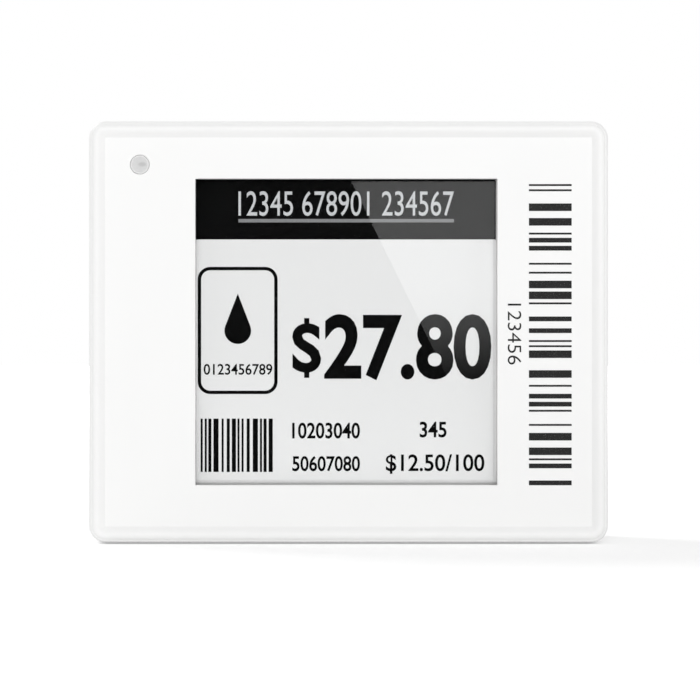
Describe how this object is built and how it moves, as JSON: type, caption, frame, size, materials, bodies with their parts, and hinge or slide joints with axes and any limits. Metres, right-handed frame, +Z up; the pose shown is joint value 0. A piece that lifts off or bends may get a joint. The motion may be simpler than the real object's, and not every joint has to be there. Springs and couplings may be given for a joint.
{
  "type": "electronic shelf label",
  "caption": "White splash-proof electronic shelf label: square e-paper display behind a clear lens, status light, coin cell under a bayonet cap, and grooves for a shelf rail.",
  "frame": {"origin": "centre of the back face, halfway between the two rail grooves, where the label is held by its rail", "axes": "+X to the right as seen from the front, along the rail; +Y out of the back, so the display looks along -Y; +Z up"},
  "size_m": [0.048, 0.0133, 0.039],
  "materials": {
    "white_plastic": "fine satin moulded finish",
    "clear_lens": "clear and glossy",
    "frosted_plastic": "frosted, milky",
    "white_tape": "matt double-sided tape",
    "pale_foam": "fine closed-cell foam",
    "grey_foam": "fine closed-cell foam",
    "paper_film": "paper-like, matt",
    "panel_glass": "polished",
    "silicon": "polished dark grey",
    "amber_film": "glossy film over copper",
    "blue_film": "matt film",
    "grey_plastic": "fine moulded finish",
    "green_board": "solder mask over glass fibre",
    "steel": "plain bright steel",
    "cream_plastic": "fine moulded finish",
    "brown_plastic": "fine moulded finish",
    "gold_plate": "bright plating",
    "black_epoxy": "matt moulded epoxy",
    "metal_lid": "bright metal lid",
    "ferrite": "matt pressed ferrite",
    "ceramic_body": "matt with bright ends",
    "led_body": "glossy",
    "cell_fill": "pressed powder",
    "black_rubber": "smooth moulded rubber",
    "grey_rubber": "smooth moulded rubber",
    "seal_plastic": "matt ring",
    "label_film": "matt printed film"
  },
  "bodies": {
    "housing": {"front_cover": "white_plastic", "display_lens": "clear_lens", "lens_tape": "white_tape", "light_pipe": "frosted_plastic", "display_gasket": "pale_foam", "epaper_film": "paper_film", "display_glass": "panel_glass", "driver_chip": "silicon", "display_tail": "amber_film", "tail_stiffener": "blue_film", "foam_pad": "grey_foam", "carrier_frame": "grey_plastic", "main_board": "green_board", "board_screws": "steel", "tail_connector": "cream_plastic", "connector_pins": "gold_plate", "radio_chip": "black_epoxy", "memory_chip": "black_epoxy", "crystals": "metal_lid", "boost_coil": "ferrite", "diodes": "black_epoxy", "small_parts": "ceramic_body", "status_led": "led_body", "antenna": "gold_plate", "negative_contact": "gold_plate", "positive_contact": "gold_plate", "cell_can": "steel", "cell_core": "cell_fill", "cell_seal": "seal_plastic", "cell_lid": "steel", "housing_gasket": "grey_rubber", "rear_cover": "white_plastic", "rear_label": "label_film"},
    "cap": {"battery_cap": "white_plastic", "cap_o_ring": "black_rubber"},
    "slider": {"connector_slider": "brown_plastic"}
  },
  "joints": [
    {"name": "cap_turn", "type": "hinge", "parent": "housing", "child": "cap", "pos_m": [0.0076, 0, 0], "axis": [0, 1, 0], "range_deg": [0, 60]},
    {"name": "connector_slide", "type": "slide", "parent": "housing", "child": "slider", "axis": [1, 0, 0], "range_m": [0, 0.001]}
  ]
}
